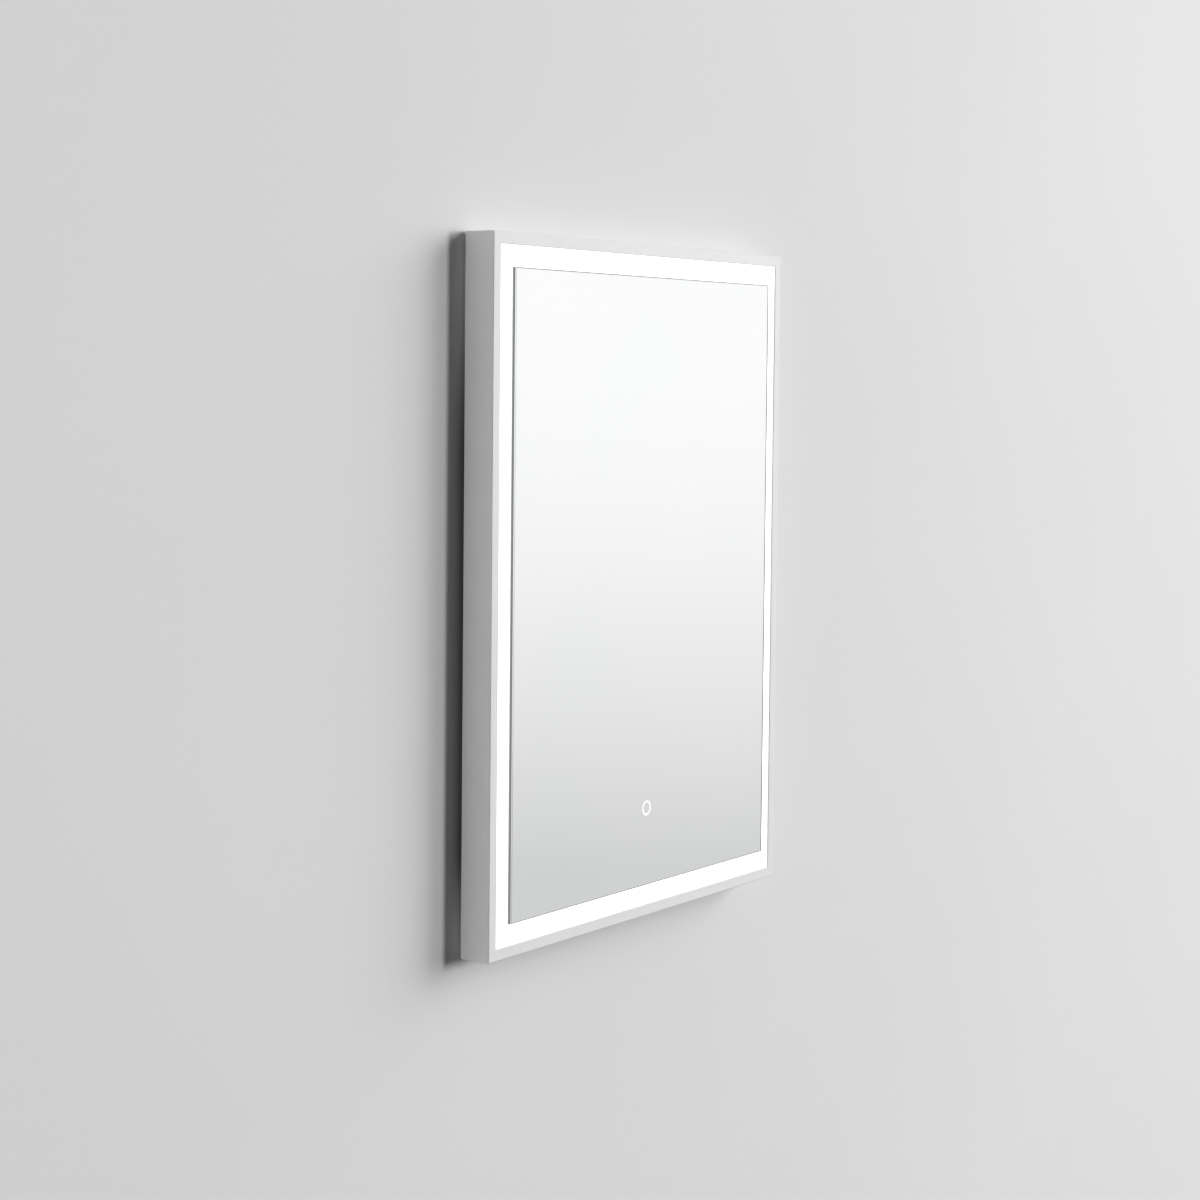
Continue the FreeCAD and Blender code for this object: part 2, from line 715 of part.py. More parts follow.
def make_back_panel():
    """Galvanised sheet on the frame's rear seat, with its holes, vents and pressed beads."""
    body = new_body("back_panel")
    sketch = front_sketch(body, panel_rear_y)
    rectangle(sketch, left_x + panel_side, right_x - panel_side, bottom_z + panel_side, top_z - panel_side)
    pad(body, sketch, panel_thick)

    beads = front_sketch(body, panel_rear_y)
    hollows = front_sketch(body, panel_front_y)
    width = 9.0
    rise = panel_thick
    for share in (-0.28, 0.28):
        middle = frame_width * share
        low = bottom_z + reflector_side * 2 + bumper_radius
        high = driver_low
        rectangle(beads, middle - width / 2, middle + width / 2, low, high)
        inner = width / 2 - panel_thick
        rectangle(hollows, middle - inner, middle + inner, low + panel_thick, high - panel_thick)
    pad(body, beads, rise, backwards=True)
    pocket(body, hollows, panel_thick, symmetric=False, backwards=False)

    holes = front_sketch(body, panel_rear_y)
    for x, z in panel_screw_places():
        circle(holes, x, z, screw_hole + screw_play)
    for x, z in bumper_places():
        circle(holes, x, z, bumper_stem + stem_play)
    for x in box_screw_places():
        circle(holes, x, entry_z, screw_hole + screw_play)
    rectangle(holes, -box_width / 2, box_width / 2, entry_z - box_height / 2, entry_z + box_height / 2)
    for vent_z in (driver_low - vent_width * 4, driver_high + vent_width * 4):
        for middle in (-vent_length, vent_length):
            half = vent_length / 2
            rectangle(holes, middle - half, middle + half, vent_z - vent_width / 2, vent_z + vent_width / 2)
    pocket(body, holes, panel_thick * 6)

    screw = screw_master("panel_screw_master", screw_reach)
    copies("back_panel_screws", screw, [(x, panel_rear_y, z) for x, z in panel_screw_places()])


def bumper_places():
    side = bumper_side
    return [(left_x + side, bottom_z + side), (right_x - side, bottom_z + side)]


def make_bumpers():
    """Push-in rubber bumpers that keep the mirror's lower edge off the wall."""
    tall = -panel_rear_y
    bumper = new_body("bumper_master")
    turned(bumper, [
        (0, -(panel_thick + 2)), (bumper_stem, -(panel_thick + 2)), (bumper_stem, 0), (bumper_radius, 0),
        (bumper_tip, tall - bumper_edge), (bumper_tip - bumper_edge, tall), (0, tall),
    ])
    copies("wall_bumpers", bumper, [(x, panel_rear_y, z) for x, z in bumper_places()])


def make_hanger():
    """The downturned section, welded to the back panel, that drops behind the wall rail's hook."""
    seat = hook_top + hang_play
    tongue_front = hang_play - hook_space
    tongue_rear = tongue_front + rail_wall
    tongue_end = rail_above + hang_play
    body = new_body("hanger")
    sketch = sketch_on(body, "YZ_Plane")
    outline(sketch, [
        (panel_rear_y, seat + hanger_plate), (panel_rear_y + rail_wall, seat + hanger_plate),
        (panel_rear_y + rail_wall, seat + rail_wall), (tongue_rear, seat + rail_wall),
        (tongue_rear, tongue_end), (tongue_front, tongue_end), (tongue_front, seat), (panel_rear_y, seat),
    ])
    pad(body, sketch, hanger_length, symmetric=True)
    inside = [(panel_rear_y + rail_wall, seat + rail_wall), (tongue_front, seat)]
    outside = [(panel_rear_y, seat), (tongue_rear, seat + rail_wall)]
    dress_folds(body, "Fillet", bend_inner, inside)
    dress_folds(body, "Fillet", bend_inner + rail_wall, outside)
    dress_folds(body, "Chamfer", tip_bevel, [(tongue_rear, tongue_end), (tongue_front, tongue_end)])


def make_wall_rail():
    """The rail that is screwed to the wall: a plate, and a hook that stands up in front of it."""
    hook_front = -(hook_space + rail_wall)
    body = new_body("wall_rail")
    sketch = sketch_on(body, "YZ_Plane")
    outline(sketch, [
        (0, -rail_below), (0, rail_above), (-hook_space, rail_above), (-hook_space, hook_top),
        (hook_front, hook_top), (hook_front, rail_above - rail_wall), (-rail_wall, rail_above - rail_wall),
        (-rail_wall, -rail_below),
    ])
    pad(body, sketch, rail_length, symmetric=True)
    under = rail_above - rail_wall
    dress_folds(body, "Fillet", bend_inner, [(-hook_space, rail_above), (-rail_wall, under)])
    dress_folds(body, "Fillet", bend_inner + rail_wall, [(0, rail_above), (hook_front, under)])
    dress_folds(body, "Chamfer", tip_bevel, [(-hook_space, hook_top), (hook_front, hook_top)])
    slots = front_sketch(body, 0)
    for way in (-1, 1):
        slot(slots, slot_spacing * way / 2, 0, slot_length, slot_radius)
    pocket(body, slots, rail_wall * 3)


# ---------------------------------------------------------------- wiring


def box_screw_places():
    reach = box_width / 2 + box_rim / 2
    return [-reach, reach]


def make_connection_box():
    """A box sunk in the back panel for the wall's cable, its cover, grommet and terminal block."""
    half_x = box_width / 2
    half_z = box_height / 2
    body = new_body("connection_box")
    rim = front_sketch(body, panel_front_y)
    far_x = half_x + box_rim
    far_z = half_z + box_rim
    rectangle(rim, -far_x, far_x, entry_z - far_z, entry_z + far_z)
    pad(body, rim, box_wall)
    dress_corners(body, "Chamfer", rim_corner)
    well = front_sketch(body, panel_front_y)
    out_x = half_x + box_wall
    out_z = half_z + box_wall
    rectangle(well, -out_x, out_x, entry_z - out_z, entry_z + out_z)
    pad(body, well, box_depth)
    dress_corners(body, "Chamfer", case_corner, box_wall.number * 2)
    inside = front_sketch(body, panel_front_y)
    rectangle(inside, -half_x, half_x, entry_z - half_z, entry_z + half_z)
    pocket(body, inside, box_depth - box_wall, symmetric=False, backwards=True)
    holes = front_sketch(body, panel_front_y)
    for x in box_screw_places():
        circle(holes, x, entry_z, screw_hole)
    pocket(body, holes, box_wall * 3)
    under = sketch_on(body, "XY_Plane", entry_z - half_z)
    circle(under, mains_lead_side, lead_y, mains_lead_radius + lead_play)
    pocket(body, under, box_wall * 3)

    cover = new_body("connection_cover")
    plate = front_sketch(cover, panel_rear_y)
    rectangle(plate, -far_x, far_x, entry_z - far_z, entry_z + far_z)
    pad(cover, plate, panel_thick, backwards=True)
    dress_corners(cover, "Chamfer", rim_corner)
    holes = front_sketch(cover, panel_rear_y)
    circle(holes, 0, entry_z, grommet_radius)
    for x in box_screw_places():
        circle(holes, x, entry_z, screw_hole + screw_play)
    pocket(cover, holes, panel_thick * 6)

    cover_rear = panel_rear_y + panel_thick
    screw = screw_master("cover_screw_master", screw_reach - 1)
    copies("cover_screws", screw, [(x, cover_rear, entry_z) for x in box_screw_places()])

    grommet = new_body("cable_grommet")
    lip = grommet_lip
    turned(grommet, [
        (entry_radius, -lip), (grommet_radius, -lip), (grommet_radius, panel_thick),
        (grommet_flange, panel_thick), (grommet_flange, panel_thick + lip),
        (entry_radius, panel_thick + lip),
    ])
    place(grommet, 0, panel_rear_y, entry_z)


def make_terminal_block():
    """A three-way screw terminal on the floor of the connection box."""
    poles = 3
    pitch = 9.0
    half = pitch * poles / 2
    floor_y = panel_front_y - box_depth + box_wall
    deep = 9.0
    low = entry_z - box_height / 2 + 6
    high = low + 14
    body = new_body("terminal_block")
    sketch = front_sketch(body, floor_y)
    rectangle(sketch, -half, half, low, high)
    pad(body, sketch, deep, backwards=True)
    entries = sketch_on(body, "XY_Plane", high)
    for index in range(poles):
        middle = pitch * (index - (poles - 1) / 2)
        rectangle(entries, middle - 2.2, middle + 2.2, floor_y + 2, floor_y + deep - 2)
    pocket(body, entries, high - low - 4, symmetric=False)


def make_driver():
    """The light strips' supply, taped to the back panel: base, moulded cover, circuit board, its parts."""
    x0 = driver_left
    x1 = driver_right
    z0 = driver_low
    z1 = driver_high
    wall = driver_wall
    foot_y = panel_front_y - driver_tape_thick
    base_y = foot_y - driver_base_thick
    block("driver_tape", x0 + wall, x1 - wall, foot_y, panel_front_y, z0 + wall, z1 - wall)
    play = wall + key_play
    block("driver_base", x0 + play, x1 - play, base_y, foot_y, z0 + play, z1 - play)

    cover = new_body("driver_cover")
    sketch = front_sketch(cover, foot_y)
    rectangle(sketch, x0, x1, z0, z1)
    pad(cover, sketch, driver_depth)
    dress_corners(cover, "Fillet", case_corner)
    inner = front_sketch(cover, foot_y)
    rectangle(inner, x0 + wall, x1 - wall, z0 + wall, z1 - wall)
    pocket(cover, inner, driver_depth - wall, symmetric=False, backwards=True)
    end = sketch_on(cover, "YZ_Plane", x0)
    circle(end, strip_lead_y, driver_z, light_lead_radius + lead_play)
    pocket(cover, end, wall * 3)
    above = sketch_on(cover, "XY_Plane", z1)
    circle(above, mains_lead_side, lead_y, mains_lead_radius + lead_play)
    pocket(cover, above, wall * 3)
    under = sketch_on(cover, "XY_Plane", z0)
    circle(under, 0, touch_lead_y, light_lead_radius + lead_play)
    pocket(cover, under, wall * 3)

    pillar = 3.0
    board_thick_y = 1.2
    board_y = base_y - pillar
    top = board_y - board_thick_y
    edge = wall + 1.0
    block("driver_board", x0 + edge, x1 - edge, top, board_y, z0 + edge, z1 - edge)
    pillars = []
    for index, middle in enumerate((x0 + 25, x1 - 25)):
        at = (middle - 3, middle + 3, board_y, base_y, driver_z - 3, driver_z + 3)
        pillars.append(block(f"driver_pillar_{index}", *at))
    gathered("driver_standoffs", pillars)
    core = block("driver_core", -12, 12, top - 6, top, driver_z - 11, driver_z + 11)
    choke = block("driver_choke", x0 + 34, x0 + 48, top - 5, top, driver_z + 2, driver_z + 14)
    can = doc.addObject("Part::Cylinder", "driver_can")
    can.Radius = 4.5
    can.Height = 6.0
    can.Placement = FreeCAD.Placement(Vector(), FreeCAD.Rotation(Vector(1, 0, 0), 90))
    place(can, x1 - 46, top, driver_z - 6)
    gathered("driver_components", [core, choke, can])


def straight_lead(label, radius, length, along, start):
    """A lead held straight between two housings, along X or along Z."""
    tube = doc.addObject("Part::Cylinder", label)
    tube.Label = label
    bind(tube, "Radius", radius)
    bind(tube, "Height", length)
    turn = FreeCAD.Rotation(Vector(0, 1, 0), 90 if along == "X" else 0)
    tube.Placement = FreeCAD.Placement(Vector(), turn)
    place(tube, *start)


def make_leads():
    """Leads from the driver to the connection box, to the left light strip and to the touch switch."""
    start = driver_high - driver_wall
    end = entry_z - box_height / 2 + 4
    straight_lead("mains_lead", mains_lead_radius, end - start, "Z", (mains_lead_side, lead_y, start))

    start = left_x + strip_side + strip_width / 2 - 2
    end = driver_left + driver_wall
    straight_lead("strip_lead", light_lead_radius, end - start, "X", (start, strip_lead_y, driver_z))

    start = ring_z + touch_side / 2 - touch_wall
    end = driver_low + driver_wall
    straight_lead("touch_lead", light_lead_radius, end - start, "Z", (0, touch_lead_y, start))

    clip = new_body("clip_master")
    sketch = sketch_on(clip, "XY_Plane", -clip_side / 4)
    half = clip_side / 2
    mouth = light_lead_radius + lead_play
    arm = mouth + 1
    foot = -1.0
    floor = touch_lead_y - panel_front_y + mouth
    tip = touch_lead_y - panel_front_y - mouth
    outline(sketch, [
        (-half, 0), (half, 0), (half, foot), (arm, foot), (arm, tip), (mouth, tip), (mouth, floor),
        (-mouth, floor), (-mouth, tip), (-arm, tip), (-arm, foot), (-half, foot),
    ])
    pad(clip, sketch, clip_side / 2)
    stations = [start + (end - start) * share for share in (0.33, 0.67)]
    copies("lead_clips", clip, [(0, panel_front_y, station) for station in stations])


# ---------------------------------------------------------------- the whole mirror

NODES = [
    "wall_rail", "frame_bottom", "frame_left", "frame_top", "frame_right", "corner_keys", "corner_plates",
    "light_sheet", "mounting_board", "bonding_strips", "mirror_glass", "mirror_silvering",
    "touch_case", "touch_board", "touch_light_ring",
    "strip_bottom", "strip_left", "strip_top", "strip_right",
    "chips_bottom", "chips_left", "chips_top", "chips_right", "strip_links",
    "reflector_bottom", "reflector_left", "reflector_top", "reflector_right",
    "back_panel", "back_panel_screws", "wall_bumpers", "hanger",
    "connection_box", "connection_cover", "cover_screws", "cable_grommet", "terminal_block",
    "driver_tape", "driver_base", "driver_cover", "driver_board", "driver_standoffs", "driver_components",
    "mains_lead", "strip_lead", "touch_lead", "lead_clips",
]

make_frame()
make_corner_keys()
make_light_sheet()
make_board()
make_bonding_strips()
make_glass()
make_coating()
make_touch_switch()
make_light_strips()
make_reflectors()
make_back_panel()
make_bumpers()
make_hanger()
make_wall_rail()
make_connection_box()
make_terminal_block()
make_driver()
make_leads()
doc.recompute()

for item in doc.Objects:
    if "Invalid" in item.State or "Error" in item.State:
        raise ValueError(f"{item.Label} failed: {item.State}")

os.makedirs("parts", exist_ok=True)
for node in NODES:
    shape = doc.getObjectsByLabel(node)[0].Shape
    if shape.isNull() or not shape.isValid():
        raise ValueError(f"{node} has no valid shape")
    shape.exportStep(f"parts/{node}.step")
print(f"{len(NODES)} sub-parts")
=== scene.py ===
import math

import bpy
from mathutils import Matrix, Vector


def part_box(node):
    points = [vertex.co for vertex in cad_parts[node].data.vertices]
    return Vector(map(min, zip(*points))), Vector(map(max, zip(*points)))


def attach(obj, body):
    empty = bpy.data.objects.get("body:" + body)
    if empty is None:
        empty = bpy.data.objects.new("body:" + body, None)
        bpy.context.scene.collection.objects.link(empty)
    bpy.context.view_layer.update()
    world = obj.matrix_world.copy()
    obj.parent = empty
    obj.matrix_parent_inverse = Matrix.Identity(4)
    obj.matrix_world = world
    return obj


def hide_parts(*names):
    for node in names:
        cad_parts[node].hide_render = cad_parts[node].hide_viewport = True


# A lit bathroom mirror on a pale wall, seen from the front left. Metres: +Z up, the glass faces -Y.

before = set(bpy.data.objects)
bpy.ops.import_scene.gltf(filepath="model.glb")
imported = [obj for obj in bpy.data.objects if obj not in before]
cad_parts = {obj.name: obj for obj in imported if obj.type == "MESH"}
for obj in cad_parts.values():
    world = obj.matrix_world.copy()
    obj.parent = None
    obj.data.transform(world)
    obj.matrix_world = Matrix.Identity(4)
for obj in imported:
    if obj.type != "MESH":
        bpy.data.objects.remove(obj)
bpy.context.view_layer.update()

MM = 0.001
SIDES = ("bottom", "left", "top", "right")
# The middle of the mirror's front, which the lamps face.
MIDDLE = Vector((0.0, -0.04, -0.305))
# Turns the top of a new primitive to the front, -Y.
TO_FRONT = (math.pi / 2, 0, 0)


# ---------------------------------------------------------------- finishes

EASED = {"interpolation_type": "SMOOTHSTEP"}


def tone(code):
    """An sRGB hex colour as linear RGBA."""
    parts = [int(code[i:i + 2], 16) / 255 for i in (0, 2, 4)]
    return [p / 12.92 if p <= 0.04045 else ((p + 0.055) / 1.055) ** 2.4 for p in parts] + [1.0]


def wire(tree, node, **inputs):
    """Fill sockets, by name or by i and a number, with a value, a link, or a node for its first output."""
    for key, value in inputs.items():
        numbered = key[0] == "i" and key[1:].isdigit()
        socket = node.inputs[int(key[1:]) if numbered else key.replace("_", " ")]
        if isinstance(value, bpy.types.Node):
            value = value.outputs[0]
        if isinstance(value, bpy.types.NodeSocket):
            tree.links.new(value, socket)
        else:
            socket.default_value = value


def add(tree, kind, settings=None, **inputs):
    """Add one node with its own settings, and fill its sockets."""
    node = tree.nodes.new(kind)
    for key, value in (settings or {}).items():
        setattr(node, key, value)
    wire(tree, node, **inputs)
    return node


def new_finish(name, **base):
    """A material with one main shader, and its Object coordinates."""
    material = bpy.data.materials.new(name)
    material.use_nodes = True
    tree = material.node_tree
    tree.nodes.clear()
    shader = add(tree, "ShaderNodeBsdfPrincipled", **base)
    add(tree, "ShaderNodeOutputMaterial", Surface=shader)
    place = add(tree, "ShaderNodeTexCoord").outputs["Object"]
    return material, tree, shader, place


def grain(tree, place, size_mm, detail=2.0):
    """Noise whose lumps are about the given size across."""
    return add(tree, "ShaderNodeTexNoise", Vector=place, Scale=1000 / size_mm, Detail=detail)


def between(tree, pattern, low, high):
    """A number from low to high as the pattern goes from dark to light."""
    return add(tree, "ShaderNodeMapRange", Value=pattern, From_Min=0.3, From_Max=0.7, To_Min=low, To_Max=high)


def blend(tree, amount, first, second):
    """A colour between two, by an amount from 0 to 1."""
    return add(tree, "ShaderNodeMix", {"data_type": "RGBA"}, i0=amount, i6=first, i7=second).outputs[2]


def two_tone(tree, pattern, dark, light):
    """A colour from one hex tone to the other as the pattern goes from dark to light."""
    return blend(tree, between(tree, pattern, 0.0, 1.0), tone(dark), tone(light))


def relief(tree, shader, height, depth_mm, strength=1.0):
    """Surface relief of about the given depth."""
    bump = add(tree, "ShaderNodeBump", Height=height, Strength=strength, Distance=depth_mm * MM)
    wire(tree, shader, Normal=bump)


def past_edges(tree, place, middle, half):
    """How far a point is outside an upright rectangle, at its nearer side. Inside it is less than nothing."""
    centred = add(tree, "ShaderNodeVectorMath", {"operation": "SUBTRACT"}, i0=place, i1=middle)
    folded = add(tree, "ShaderNodeVectorMath", {"operation": "ABSOLUTE"}, i0=centred)
    past = add(tree, "ShaderNodeVectorMath", {"operation": "SUBTRACT"}, i0=folded, i1=half)
    parts = add(tree, "ShaderNodeSeparateXYZ", Vector=past)
    return add(tree, "ShaderNodeMath", {"operation": "MAXIMUM"}, i0=parts.outputs[0], i1=parts.outputs[2])


def powder_coat():
    # Satin white polyester powder on extruded aluminium, sprayed and baked. The powder flows out almost
    # level: an even colour, soft highlights and a faint orange peel about 1.2 mm from crest to crest.
    material, tree, shader, place = new_finish("satin_white_powder_coat", IOR=1.5, Specular_IOR_Level=0.12)
    peel = grain(tree, place, 1.2)
    cloud = grain(tree, place, 60.0)
    wire(tree, shader, Base_Color=two_tone(tree, cloud, "D8D8D8", "D5D5D5"),
         Roughness=between(tree, peel, 0.44, 0.54))
    relief(tree, shader, peel, 0.012, 0.5)
    return material


def opal_acrylic():
    # Cast opal acrylic, lit from behind by the strips: it scatters their light to an even glow. Behind the
    # glass, inside the white channels, the sheet isn't lit.
    material, tree, shader, place = new_finish("lit_opal_acrylic", Roughness=0.3, IOR=1.49,
                                               Emission_Strength=2.3)
    low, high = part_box("mirror_glass")
    past_glass = past_edges(tree, place, (low + high) / 2, (high - low) / 2)
    lit = add(tree, "ShaderNodeMapRange", Value=past_glass, From_Min=-12 * MM, From_Max=-6 * MM)
    haze = grain(tree, place, 0.4)
    wire(tree, shader, Emission_Color=blend(tree, lit, tone("000000"), tone("FDFDFC")),
         Base_Color=two_tone(tree, haze, "6C6C6B", "747473"))
    relief(tree, shader, haze, 0.004, 0.3)
    return material


def silvered_glass():
    # Float glass with silver behind it: dead flat and sharp, with the slight cool tint of the glass.
    material, tree, shader, place = new_finish("silvered_float_glass", Metallic=1.0, Roughness=0.012)
    sweep = grain(tree, place, 260.0, 1.0)
    wire(tree, shader, Base_Color=two_tone(tree, sweep, "FBFCFB", "FAFBFB"),
         Roughness=between(tree, sweep, 0.008, 0.016))
    return material


def ground_edge():
    # The glass's edge, ground with a fine wheel and left matt: it shows the green-grey of the glass seen
    # edge on, with the wheel's fine scratches.
    material, tree, shader, place = new_finish("ground_glass_edge", IOR=1.52)
    scratch = grain(tree, place, 0.5, 3.0)
    wire(tree, shader, Base_Color=two_tone(tree, scratch, "505453", "5C605F"),
         Roughness=between(tree, scratch, 0.3, 0.5))
    relief(tree, shader, scratch, 0.01, 0.5)
    return material


def lit_ring():
    # The clear line in the silver with the opal light guide behind it: plain white light.
    material, tree, shader, place = new_finish("lit_ring_window", Roughness=0.2, IOR=1.5,
                                               Emission_Strength=1.0)
    haze = grain(tree, place, 0.3)
    wire(tree, shader, Emission_Color=two_tone(tree, haze, "FCFCFC", "FFFFFF"),
         Base_Color=blend(tree, haze, tone("505050"), tone("585858")))
    return material


def galvanised(name, weld_spots=None):
    # Hot-dip galvanised sheet. The zinc freezes in crystals about 9 mm across, each with its own grey
    # and its own sheen, under a faint matt bloom.
    material, tree, shader, place = new_finish(name, Metallic=1.0)
    crystals = add(tree, "ShaderNodeTexVoronoi", Vector=place, Scale=1 / (9 * MM))
    shade = add(tree, "ShaderNodeSeparateColor", Color=crystals.outputs["Color"])
    bloom = grain(tree, place, 30.0, 4.0)
    spangle = blend(tree, shade, tone("B7BABC"), tone("C7CACC"))
    colour = blend(tree, between(tree, bloom, 0.0, 0.5), spangle, tone("BDC0C1"))
    rough = add(tree, "ShaderNodeMath", {"operation": "MULTIPLY_ADD"}, i0=shade, i1=0.08, i2=0.40)
    if weld_spots:
        # Pressed marks of the spot welds, 5 mm across, along the middle of the plate. They are counted from
        # a place well to the left of the sheet.
        height, pitch = weld_spots
        far_left = 2.0
        parts = add(tree, "ShaderNodeSeparateXYZ", Vector=place)
        from_left = add(tree, "ShaderNodeMath", {"operation": "ADD"}, i0=parts.outputs[0], i1=far_left)
        along = add(tree, "ShaderNodeMath", {"operation": "PINGPONG"}, i0=from_left, i1=pitch / 2)
        up = add(tree, "ShaderNodeMath", {"operation": "SUBTRACT"}, i0=parts.outputs[2], i1=height)
        flat = add(tree, "ShaderNodeCombineXYZ", X=along, Z=up)
        away = add(tree, "ShaderNodeVectorMath", {"operation": "LENGTH"}, i0=flat).outputs["Value"]
        sound = add(tree, "ShaderNodeMapRange", EASED, Value=away, From_Min=1.8 * MM, From_Max=3.2 * MM)
        colour = blend(tree, sound, tone("6F7376"), colour)
        relief(tree, shader, sound, 0.3)
    wire(tree, shader, Base_Color=colour, Roughness=rough)
    return material


def plain_matt(name, dark, light, size_mm, rough, depth_mm, metal=0.0):
    """A finish with two close tones and a fine relief, for moulded, printed, plated and cast pieces."""
    material, tree, shader, place = new_finish(name, Metallic=metal)
    pattern = grain(tree, place, size_mm, 3.0)
    wire(tree, shader, Base_Color=two_tone(tree, pattern, dark, light),
         Roughness=between(tree, pattern, *rough))
    relief(tree, shader, pattern, depth_mm, 0.6)
    return material


def circuit_board(name, lacquer, track):
    # Glass-fibre board under solder resist: thin raised tracks, 2.5 mm apart, show through the lacquer.
    material, tree, shader, place = new_finish(name, IOR=1.5)
    # A saw wave's length is a twentieth of a full turn, divided by its scale.
    scale = math.tau / 20 / (2.5 * MM)
    tracks = add(tree, "ShaderNodeTexWave", {"wave_profile": "SAW", "bands_direction": "Z"},
                 Vector=place, Scale=scale, Distortion=0.0).outputs["Fac"]
    edge = add(tree, "ShaderNodeMapRange", Value=tracks, From_Min=0.62, From_Max=0.66)
    wire(tree, shader, Base_Color=blend(tree, edge, tone(lacquer), tone(track)),
         Roughness=between(tree, grain(tree, place, 0.8), 0.25, 0.4))
    relief(tree, shader, edge, 0.03)
    return material


def light_chip():
    # Yellow phosphor in clear resin inside a white cup, lit.
    material, tree, shader, place = new_finish("phosphor_chip", Roughness=0.25, IOR=1.5,
                                               Emission_Strength=1.0)
    grit = grain(tree, place, 0.3)
    wire(tree, shader, Base_Color=blend(tree, grit, tone("E9D08A"), tone("F3E2A6")),
         Emission_Color=blend(tree, grit, tone("FFF6E0"), tone("FFFBEF")))
    return material


coat = powder_coat()
opal = opal_acrylic()
silver = silvered_glass()
edge_glass = ground_edge()
ring_light = lit_ring()
zinc = galvanised("galvanised_sheet")
hanger_zinc = galvanised("galvanised_hanger", weld_spots=(40 * MM, 55 * MM))
# Zinc-plated mild steel screws, barrel-plated bright and a little uneven.
screw_zinc = plain_matt("bright_zinc_plate", "A6A8A4", "BEBFB9", 0.7, (0.22, 0.36), 0.006, 1.0)
# Moulded black rubber: matt, with a faint bloom.
rubber = plain_matt("moulded_black_rubber", "17181A", "222325", 1.5, (0.6, 0.75), 0.02)
# Injection-moulded housings with a fine spark-eroded texture of 0.3 to 0.4 mm.
white_shell = plain_matt("moulded_white_shell", "D9D8D3", "E0DFDB", 0.3, (0.45, 0.55), 0.012)
driver_shell = plain_matt("moulded_driver_shell", "CFCECA", "D8D7D3", 0.35, (0.5, 0.6), 0.014)
dark_shell = plain_matt("moulded_dark_shell", "1B1C20", "26272B", 0.4, (0.4, 0.55), 0.012)
# Die-cast zinc alloy keys: grey, slightly mottled by the die.
cast_key = plain_matt("die_cast_key", "8F9294", "A2A5A6", 3.0, (0.35, 0.5), 0.02, 1.0)
# Foamed white sheet: closed surface with fine pores.
foam_board = plain_matt("foamed_white_board", "E8E8E5", "F0F0EE", 0.6, (0.6, 0.7), 0.02)
# Closed-cell bonding tape: dark grey foam with 0.5 mm cells.
foam_tape = plain_matt("closed_cell_tape", "2B2C2D", "3A3B3C", 0.5, (0.7, 0.85), 0.05)
# Stove enamel on the inner channels: matt white, slightly pebbled.
enamel = plain_matt("matt_stove_enamel", "E2E2DF", "EAEAE8", 1.0, (0.5, 0.6), 0.01)
# The same coat on the lip's inner face, drawn whiter than it is, because the band beside it lights it up.
painted_band_light = plain_matt("bright_inner_lip", "F0F0EF", "F5F5F4", 1.2, (0.5, 0.6), 0.008)
# Grey backing paint over the silver, poured and dried level.
backing_paint = plain_matt("mirror_backing_paint", "6F7A78", "7B8684", 2.0, (0.4, 0.5), 0.008)
# Soft white sheath, extruded along the cable.
sheath = plain_matt("extruded_white_sheath", "DEDDD8", "E6E5E1", 0.6, (0.4, 0.5), 0.01)
# Tinned links, reflowed and slightly lumpy.
solder = plain_matt("reflowed_solder", "A9ABAD", "C3C5C6", 0.8, (0.25, 0.4), 0.03, 1.0)
# The touch ring's light guide, cut from opal acrylic: milky white and nearly smooth.
opal_guide = plain_matt("opal_light_guide", "E6E6E4", "EFEFED", 0.4, (0.3, 0.4), 0.004)
white_board = circuit_board("white_circuit_strip", "E9E9E4", "DCDCD6")
green_board = circuit_board("green_circuit_board", "1E5A33", "2B7345")
chip = light_chip()


# ---------------------------------------------------------------- small helpers for modelling


def only(piece):
    """Select one object alone and make it active."""
    bpy.ops.object.select_all(action="DESELECT")
    piece.select_set(True)
    bpy.context.view_layer.objects.active = piece


def start(name):
    """Name the primitive just added and put its place in its mesh."""
    piece = bpy.context.active_object
    piece.name = piece.data.name = name
    bpy.ops.object.transform_apply(location=True, rotation=True, scale=True)
    return piece


def join(pieces, name):
    """Make one piece of several, with their places in its mesh."""
    bpy.ops.object.select_all(action="DESELECT")
    for piece in pieces:
        piece.select_set(True)
    bpy.context.view_layer.objects.active = pieces[0]
    bpy.ops.object.transform_apply(location=True, rotation=True, scale=True)
    bpy.ops.object.join()
    whole = bpy.context.active_object
    whole.name = whole.data.name = name
    return whole


def modifier(piece, kind, **settings):
    """Add a modifier and apply it."""
    only(piece)
    step = piece.modifiers.new(kind.lower(), kind)
    for key, value in settings.items():
        setattr(step, key, value)
    bpy.ops.object.modifier_apply(modifier=step.name)


def ease_edges(piece, width, steps, **settings):
    """Round the edges that turn by more than 40 degrees."""
    modifier(piece, "BEVEL", width=width, segments=steps, limit_method="ANGLE",
             angle_limit=math.radians(40), **settings)


def boolean(piece, operation, tool):
    """Join a tool piece to a piece or cut it away, and drop the tool."""
    modifier(piece, "BOOLEAN", operation=operation, object=tool, solver="EXACT")
    bpy.data.objects.remove(tool)


def smooth(piece):
    """Shade round forms smooth, and keep large flat faces flat."""
    only(piece)
    bpy.ops.object.shade_smooth_by_angle(angle=math.radians(35))
    modifier(piece, "WEIGHTED_NORMAL", mode="FACE_AREA", weight=100, keep_sharp=True)


def finish_piece(piece, body, slot, *materials, stands_for=()):
    """Give a finished piece its materials, and let it ride on its body."""
    piece.data.materials.clear()
    for material in materials:
        piece.data.materials.append(material)
    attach(piece, body)
    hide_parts(*stands_for)


